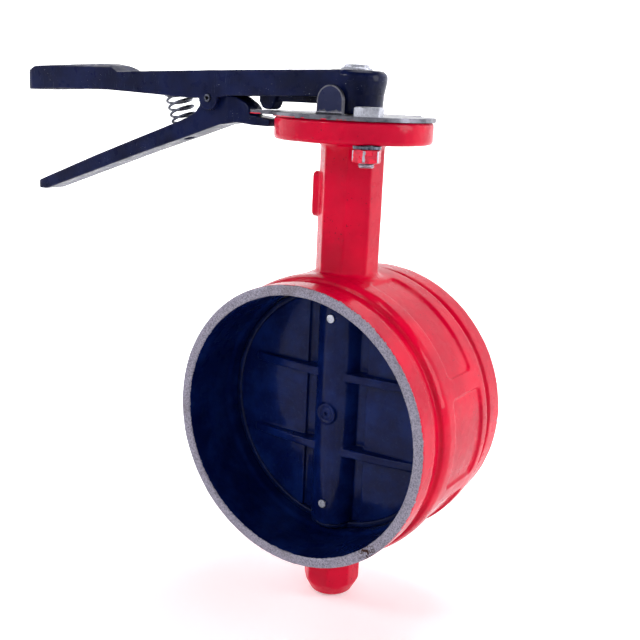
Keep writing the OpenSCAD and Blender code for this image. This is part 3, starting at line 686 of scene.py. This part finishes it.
def make_spring():
    """A smooth coil with closed end turns.

    It doesn't tilt with its seat, so its foot passes a little into the squeezed trigger.
    """
    mean_r = 10.2 * MM
    wire_r = 1.1 * MM
    turns = 5.5
    steps = int(turns * 40)
    sides = 14
    side_axis = Vector((math.cos(SPRING_TILT), 0, math.sin(SPRING_TILT)))
    cross_axis = Vector((0, 1, 0))
    rise = SPRING_LENGTH - 2 * wire_r
    closed = 0.07           # share of the height taken by each closed end turn

    def height(t):
        """Height share at a share t of the winding: slow over the first and last turn."""
        end = 0.8 / turns
        if t < end:
            return closed * (t / end) ** 1.5
        if t > 1 - end:
            return 1 - closed * ((1 - t) / end) ** 1.5
        return closed + (1 - 2 * closed) * (t - end) / (1 - 2 * end)

    centres = []
    for k in range(steps + 1):
        t = k / steps
        a = TAU * turns * t
        along = SPRING_FOOT + SPRING_AXIS * (wire_r + rise * height(t))
        centres.append(along + (side_axis * math.cos(a) + cross_axis * math.sin(a)) * mean_r)
    points = []
    for k, centre in enumerate(centres):
        ahead = centres[min(k + 1, steps)] - centres[max(k - 1, 0)]
        outward = (centre - SPRING_FOOT) - SPRING_AXIS * (centre - SPRING_FOOT).dot(SPRING_AXIS)
        outward.normalize()
        over = ahead.normalized().cross(outward).normalized()
        for i in range(sides):
            b = TAU * i / sides
            points.append(centre + (outward * math.cos(b) + over * math.sin(b)) * wire_r)
    faces = ring_faces(steps + 1, sides)
    faces.append(tuple(range(sides - 1, -1, -1)))
    faces.append(tuple(steps * sides + i for i in range(sides)))
    obj = piece("latch_coil", mesh_from("latch_coil", points, faces), "disc_and_lever",
                DARK_STEEL, ["latch_spring"])
    shade(obj, 50)
    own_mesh(obj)


# ---------- CAD parts that stay, with better materials ----------

def finish_cad_parts():
    """New materials for the CAD nodes that no piece replaces."""
    finishes = {
        "notch_plate": PLATE, "taper_pins": PIN_STEEL, "upper_stem": STEM, "lower_stem": STEM,
        "upper_bush": BRONZE, "middle_bush": BRONZE, "lower_bush": BRONZE, "thrust_washer": BRONZE,
        "upper_o_rings": NITRILE, "lower_o_ring": NITRILE, "stem_circlip": DARK_STEEL,
        "trigger_pin": DARK_STEEL,
    }
    for name, material in finishes.items():
        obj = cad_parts[name]
        obj.data.materials.clear()
        obj.data.materials.append(material)


# ---------- stage, lights, camera ----------

def make_stage():
    """A pale floor that curves up all round into a plain backdrop."""
    count = 96
    floor_z = BODY_LOW.z - 1 * MM
    flat_r = 1.9
    bend_r = 0.9
    profile = [(0.02, 0.0), (0.6, 0.0), (1.2, 0.0), (flat_r, 0.0)]
    for k in range(1, 13):
        a = math.pi / 2 * k / 12
        profile.append((flat_r + bend_r * math.sin(a), bend_r * (1 - math.cos(a))))
    profile.append((flat_r + bend_r, 2.6))
    points = [
        (r * math.cos(TAU * i / count), r * math.sin(TAU * i / count), floor_z + z)
        for r, z in profile for i in range(count)
    ]
    faces = ring_faces(len(profile), count)
    faces.append(tuple(range(count - 1, -1, -1)))
    mesh = mesh_from("pale_floor", points, faces)
    mesh.materials.append(floor_finish())
    obj = bpy.data.objects.new("pale_floor", mesh)
    SCENE.collection.objects.link(obj)
    mesh.shade_smooth()


def soft_light(name, place, aim, width, height, watts):
    data = bpy.data.lights.new(name, "AREA")
    data.shape = "RECTANGLE"
    data.size = width
    data.size_y = height
    data.energy = watts
    obj = bpy.data.objects.new(name, data)
    obj.location = place
    obj.rotation_mode = "QUATERNION"
    obj.rotation_quaternion = (Vector(aim) - Vector(place)).to_track_quat("-Z", "Y")
    SCENE.collection.objects.link(obj)


def make_lights():
    centre = (0, 0, 0.06)
    soft_light("key_right", (1.35, 0.45, 0.60), centre, 0.6, 0.9, 10)
    soft_light("top_box", (0.1, 0.3, 1.5), centre, 0.8, 0.8, 10)
    soft_light("fill_left", (-1.1, -1.1, 0.9), centre, 0.3, 0.3, 2.4)
    soft_light("front_high", (-0.35, -1.2, 1.0), centre, 0.3, 0.25, 5)
    world = bpy.data.worlds.new("soft_studio")
    world.use_nodes = True
    background = world.node_tree.nodes["Background"]
    background.inputs["Color"].default_value = (0.97, 0.98, 1.0, 1)
    background.inputs["Strength"].default_value = 0.06
    SCENE.world = world


CAMERA_PLACE = Vector((0.3768, -0.6237, 0.2465))      # metres
CAMERA_YAW = 32.63       # degrees round the stem axis from looking straight along +Y
CAMERA_PITCH = 13.49     # degrees of looking down
CAMERA_ROLL = 2.546      # degrees, the small tilt of the view
CAMERA_LENS = 53.27      # millimetres on a 36 mm sensor


def make_camera():
    yaw = math.radians(CAMERA_YAW)
    pitch = math.radians(CAMERA_PITCH)
    roll = math.radians(CAMERA_ROLL)
    back = Vector((math.sin(yaw) * math.cos(pitch), -math.cos(yaw) * math.cos(pitch), math.sin(pitch)))
    right = Vector((0, 0, 1)).cross(back).normalized()
    up = back.cross(right)
    rolled_right = right * math.cos(roll) + up * math.sin(roll)
    rolled_up = up * math.cos(roll) - right * math.sin(roll)
    data = bpy.data.cameras.new("studio_camera")
    data.lens = CAMERA_LENS
    data.sensor_width = 36
    data.clip_start = 0.01
    obj = bpy.data.objects.new("studio_camera", data)
    turn = Matrix((rolled_right, rolled_up, back)).transposed()
    obj.matrix_world = Matrix.Translation(CAMERA_PLACE) @ turn.to_4x4()
    SCENE.collection.objects.link(obj)
    SCENE.camera = obj


SCENE.view_settings.view_transform = "Standard"
make_camera()
make_stage()
make_lights()
make_castings()
make_hardware()
make_spring()
finish_cad_parts()
